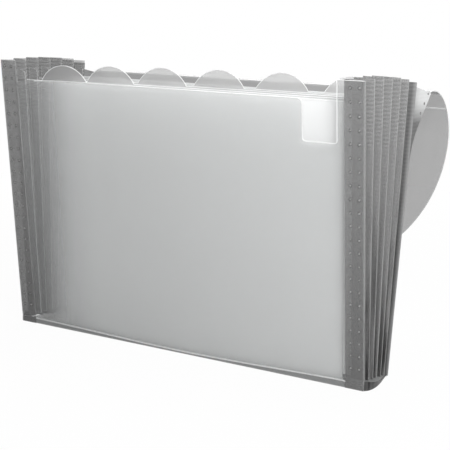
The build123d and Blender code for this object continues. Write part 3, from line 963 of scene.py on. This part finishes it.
class MakeGussets(bpy.types.Operator):
    """Pleats of both gussets, one for each pocket, and the strips welded to the covers"""

    bl_idname = "document_file.make_gussets"
    bl_label = "Gussets"

    def execute(self, context):
        sizes, fan, finish = workbench(context)
        for name, side in SIDES:
            for pocket in range(1, POCKETS + 1):
                rows, marks = [], []
                for up in pleat_heights(fan, pocket):
                    wave = noise.noise(Vector((pocket, side, up)) * Vector(PLEAT_NOISE))
                    columns = pleat_columns(fan, pocket, side, up, PLEAT_BULGE * wave)
                    rows.append([point for point, _ in columns])
                    marks += [mark for _, mark in columns]
                # the last pleat gets the dark foot finish, painted shade in the last pocket
                look = finish["foot"] if pocket == POCKETS else finish["gusset"]
                pleat = grid_sheet(
                    f"{name}_pleat_{pocket}", [rows], sizes.gusset_sheet, look, finish["slit"], marks,
                    joined=lambda normal: abs(normal.z) < 0.5)
                blend_across(fan, pleat, pocket, f"{name}_gusset_pleat_{pocket}")
            self.make_strips(fan, finish, name, side)
            web, marks = web_rows(fan, side)
            # the web gets the dark foot finish as painted shade, with a painted highlight towards its top
            sheet = grid_sheet(
                f"{name}_web", [web], sizes.gusset_sheet, finish["foot"], finish["edge"], marks)
            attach(sheet, "back_cover")
        return {"FINISHED"}

    def make_strips(self, fan, finish, name, side):
        """Strips of one gusset, on the outer faces of both covers."""
        low, top = fan.sizes.seat_gap, fan.sizes.panel_top
        across = [side * x for x in steps(fan.strip_edge, fan.sizes.half_width, 12)]
        front = [[fan.point(0, x, up, -fan.strip_out) for x in across] for up in steps(low, top, 60)]
        rear = [[fan.back_point(x, up, fan.strip_out) for x in across] for up in fan.back_heights(low, top)]
        for end, rows, body in (("front", front, "front_cover"), ("rear", rear, "back_cover")):
            marks = ([0.0] * (len(across) - 1) + [STRIP_FOLD_WHITE]) * len(rows)
            strip = grid_sheet(
                f"{name}_{end}_strip", [rows], fan.sizes.gusset_sheet, finish["strip"], finish["slit"],
                marks, joined=lambda normal: normal.z < -0.5)
            replace_node(strip, f"{name}_{end}_flange", body)


def spot_tree():
    """Node tree that sets a weld spot, a low dome with a raised rim, along each line at an even pitch."""
    tree = bpy.data.node_groups.new("weld spots", "GeometryNodeTree")
    for name, kind in (
        ("Geometry", "NodeSocketGeometry"), ("Pitch", "NodeSocketFloat"), ("Radius", "NodeSocketFloat"),
        ("Seed", "NodeSocketInt"), ("Material", "NodeSocketMaterial"),
    ):
        tree.interface.new_socket(name, in_out="INPUT", socket_type=kind)
    tree.interface.new_socket("Geometry", in_out="OUTPUT", socket_type="NodeSocketGeometry")
    given = add_node(tree, "NodeGroupInput").outputs
    curve = add_node(tree, "GeometryNodeMeshToCurve", Mesh=given["Geometry"])
    points = add_node(
        tree, "GeometryNodeCurveToPoints", {"mode": "LENGTH"}, Curve=curve, Length=given["Pitch"])
    shares = {"rim": 0.78, "rim_round": 0.22, "dome_top": 0.35, "dome_foot": 0.7, "dome_rise": 0.25}
    part = {
        name: add_node(tree, "ShaderNodeMath", {"operation": "MULTIPLY"}, _0=given["Radius"], _1=share)
        for name, share in shares.items()}
    rim_path = add_node(tree, "GeometryNodeCurvePrimitiveCircle", Resolution=12, Radius=part["rim"])
    rim_round = add_node(tree, "GeometryNodeCurvePrimitiveCircle", Resolution=4, Radius=part["rim_round"])
    rim = add_node(tree, "GeometryNodeCurveToMesh", Curve=rim_path, Profile_Curve=rim_round)
    dome = add_node(
        tree, "GeometryNodeMeshCone", Vertices=12, Radius_Top=part["dome_top"],
        Radius_Bottom=part["dome_foot"], Depth=part["dome_rise"])
    middle = add_node(
        tree, "GeometryNodeStoreNamedAttribute", {"data_type": "FLOAT"}, Geometry=dome, Name=SPOT_MIDDLE,
        Value=1.0)
    spot = add_node(tree, "GeometryNodeJoinGeometry", Geometry=rim)
    tree.links.new(middle.outputs[0], spot.inputs[0])
    facing = add_node(
        tree, "GeometryNodeInputNamedAttribute", {"data_type": "FLOAT_VECTOR"}, Name=FACING)
    turn = add_node(tree, "FunctionNodeAlignRotationToVector", {"axis": "Z"}, Vector=facing)
    size = add_node(
        tree, "FunctionNodeRandomValue", {"data_type": "FLOAT"}, Min=0.85, Max=1.1, Seed=given["Seed"])
    spots = add_node(
        tree, "GeometryNodeInstanceOnPoints", Points=points, Instance=spot, Rotation=turn, Scale=size)
    solid = add_node(tree, "GeometryNodeRealizeInstances", Geometry=spots)
    done = add_node(tree, "GeometryNodeSetMaterial", Geometry=solid, Material=given["Material"])
    add_node(tree, "NodeGroupOutput", Geometry=done)
    return tree


class MakeWeldSpots(bpy.types.Operator):
    """Two rows of weld spots down each strip, and one up each web"""

    bl_idname = "document_file.make_weld_spots"
    bl_label = "Weld spots"

    def execute(self, context):
        sizes, fan, finish = workbench(context)
        tree = bpy.data.node_groups.get("weld spots") or spot_tree()
        values = {
            "Pitch": sizes.spot_pitch * SPOT_PITCH_SHARE, "Radius": sizes.spot_radius, "Seed": SPOT_SEED,
            "Material": finish["spot"]}
        count = int((sizes.panel_top - 2 * sizes.spot_end) / sizes.spot_pitch)
        heights = [sizes.panel_top - sizes.spot_end - sizes.spot_pitch * step for step in range(count + 1)]
        on_web = [up for up in heights if up > fan.tilt_start + WEB_SPOT_LEAD]
        face = fan.strip_out + sizes.gusset_sheet / 2
        forward = fan.point(0, 0, 0, -1) - fan.point(0, 0, 0)
        for name, side in SIDES:
            columns = [side * (sizes.half_width - inset) for inset in (sizes.spot_outer, sizes.spot_inner)]
            front = [[(fan.point(0, x, up, -face), forward) for up in heights] for x in columns]
            rear = [[(fan.back_point(x, up, face), fan.back_normal(up)) for up in heights] for x in columns]
            outside = side * (sizes.half_width + sizes.gusset_sheet / 2)
            sideways = Vector((side, 0, 0))
            rear.append([(fan.back_point(outside, up, -sizes.spot_outer), sideways) for up in on_web])
            for place, lines, body in (("front", front, "front_cover"), ("rear", rear, "back_cover")):
                spots = self.spots_along(f"{name}_{place}_spots", lines, tree, values)
                replace_node(spots, f"{name}_{place}_weld_spots", body)
        return {"FINISHED"}

    def spots_along(self, name, lines, tree, values):
        """Mesh of weld spots along lines of (point, facing) pairs."""
        places = [pair for line in lines for pair in line]
        edges, start = [], 0
        for line in lines:
            edges += [(start + step, start + step + 1) for step in range(len(line) - 1)]
            start += len(line)
        mesh = bpy.data.meshes.new(name)
        mesh.from_pydata([point for point, _ in places], edges, [])
        facing = mesh.attributes.new(FACING, "FLOAT_VECTOR", "POINT")
        facing.data.foreach_set("vector", [part for _, normal in places for part in normal])
        obj = add_object(name, mesh)
        modifier = obj.modifiers.new("spots", "NODES")
        modifier.node_group = tree
        for socket in tree.interface.items_tree:
            if socket.in_out == "INPUT" and socket.name in values:
                modifier[socket.identifier] = values[socket.name]
        smooth_faces(plain_mesh(obj))
        return obj


def background_rays(tree):
    """Node that gives 1 for rays that show the white background: seen straight, mirrored or through."""
    rays = add_node(tree, "ShaderNodeLightPath").outputs
    mirrored = add_node(
        tree, "ShaderNodeMath", {"operation": "MAXIMUM"}, _0=rays["Is Camera Ray"], _1=rays["Is Glossy Ray"])
    return add_node(
        tree, "ShaderNodeMath", {"operation": "MAXIMUM"}, _0=mirrored, _1=rays["Is Transmission Ray"])


class MakeStage(bpy.types.Operator):
    """White floor, soft lights and the camera"""

    bl_idname = "document_file.make_stage"
    bl_label = "Stage"

    def execute(self, context):
        scene, studio = context.scene, context.scene.file_studio
        scene.view_settings.view_transform = "Standard"
        scene.cycles.transparent_max_bounces = 32
        self.make_floor()
        self.make_world(scene, studio)
        for name, lamp_power, size, place in LAMPS:
            lamp = bpy.data.lights.new(name, "AREA")
            lamp.energy = getattr(studio, lamp_power)
            lamp.size = size
            aim = Vector(studio.light_aim) - Vector(place)
            turn = aim.to_track_quat("-Z", "Y").to_matrix().to_4x4()
            add_object(name, lamp).matrix_world = Matrix.Translation(place) @ turn
        self.make_camera(scene, studio)
        return {"FINISHED"}

    def make_floor(self):
        """White floor that keeps the file's shadow and is a little darker under it."""
        mesh = bpy.data.meshes.new("floor")
        corners = [(x * FLOOR_REACH, y * FLOOR_REACH, 0) for x, y in ((-1, -1), (1, -1), (1, 1), (-1, 1))]
        mesh.from_pydata(corners, [], [(0, 1, 2, 3)])
        floor = add_object("floor", mesh)
        material, tree = new_material("white floor")
        coords = add_node(tree, "ShaderNodeTexCoord").outputs["Object"]
        far = add_node(tree, "ShaderNodeVectorMath", {"operation": "LENGTH"}, Vector=coords)
        fade = add_node(
            tree, "ShaderNodeMapRange", SMOOTH, Value=far, From_Min=0.3, From_Max=1.0, To_Min=0.97,
            To_Max=1.0)
        share = add_node(
            tree, "ShaderNodeMath", {"operation": "MULTIPLY"}, _0=background_rays(tree), _1=fade)
        shaded = add_node(tree, "ShaderNodeBsdfDiffuse", Color=(0.6, 0.6, 0.6, 1))
        white = add_node(tree, "ShaderNodeEmission", Color=(1, 1, 1, 1), Strength=1.0)
        mix = add_node(tree, "ShaderNodeMixShader", _0=share, _1=shaded, _2=white)
        add_node(tree, "ShaderNodeOutputMaterial", Surface=mix)
        mesh.materials.append(material)

    def make_world(self, scene, studio):
        """Even light from all round, with a white background."""
        world = bpy.data.worlds.new("studio")
        scene.world = world
        world.use_nodes = True
        tree = world.node_tree
        tree.nodes.clear()
        sky = add_node(tree, "ShaderNodeBackground", Color=(1, 1, 1, 1), Strength=studio.sky)
        white = add_node(tree, "ShaderNodeBackground", Color=(1, 1, 1, 1), Strength=1.0)
        mix = add_node(tree, "ShaderNodeMixShader", _0=background_rays(tree), _1=sky, _2=white)
        add_node(tree, "ShaderNodeOutputWorld", Surface=mix)

    def make_camera(self, scene, studio):
        """Camera of the photographed view."""
        yaw, pitch, roll = studio.camera_yaw, studio.camera_pitch, studio.camera_roll
        forward = Vector((-sin(yaw) * cos(pitch), cos(yaw) * cos(pitch), -sin(pitch)))
        level = Vector((cos(yaw), sin(yaw), 0))
        above = level.cross(forward)
        right = cos(roll) * level + sin(roll) * above
        up = cos(roll) * above - sin(roll) * level
        lens = bpy.data.cameras.new("camera")
        lens.lens = studio.lens
        lens.sensor_width = 36
        lens.clip_start = 0.01
        turn = Matrix((right, up, -forward)).transposed().to_4x4()
        scene.camera = add_object("camera", lens)
        scene.camera.matrix_world = Matrix.Translation(studio.camera_place) @ turn


class DocumentFilePanel(bpy.types.Panel):
    """Buttons that make the file's pieces"""

    bl_idname = "VIEW3D_PT_document_file"
    bl_label = "Document file"
    bl_space_type = "VIEW_3D"
    bl_region_type = "UI"
    bl_category = "Document file"

    def draw(self, context):
        for operator in OPERATORS:
            self.layout.operator(operator.bl_idname)


OPERATORS = (
    MakeBase, MakeFrontCover, MakeBackSheet, MakeDividers, MakeGussets, MakeWeldSpots, MakeStage)
GROUPS = (("file_sizes", FileSizes), ("file_finishes", FileFinishes), ("file_studio", StudioSettings))


def register():
    for _, group in GROUPS:
        bpy.utils.register_class(group)
    for operator in OPERATORS:
        bpy.utils.register_class(operator)
    bpy.utils.register_class(DocumentFilePanel)
    for name, group in GROUPS:
        setattr(bpy.types.Scene, name, PointerProperty(type=group))


def unregister():
    for name, _ in GROUPS:
        delattr(bpy.types.Scene, name)
    bpy.utils.unregister_class(DocumentFilePanel)
    for operator in reversed(OPERATORS):
        bpy.utils.unregister_class(operator)
    for _, group in reversed(GROUPS):
        bpy.utils.unregister_class(group)


def main():
    register()
    bpy.ops.document_file.make_base()
    bpy.ops.document_file.make_front_cover()
    bpy.ops.document_file.make_back_sheet()
    bpy.ops.document_file.make_dividers()
    bpy.ops.document_file.make_gussets()
    bpy.ops.document_file.make_weld_spots()
    bpy.ops.document_file.make_stage()


if __name__ == "__main__":
    main()
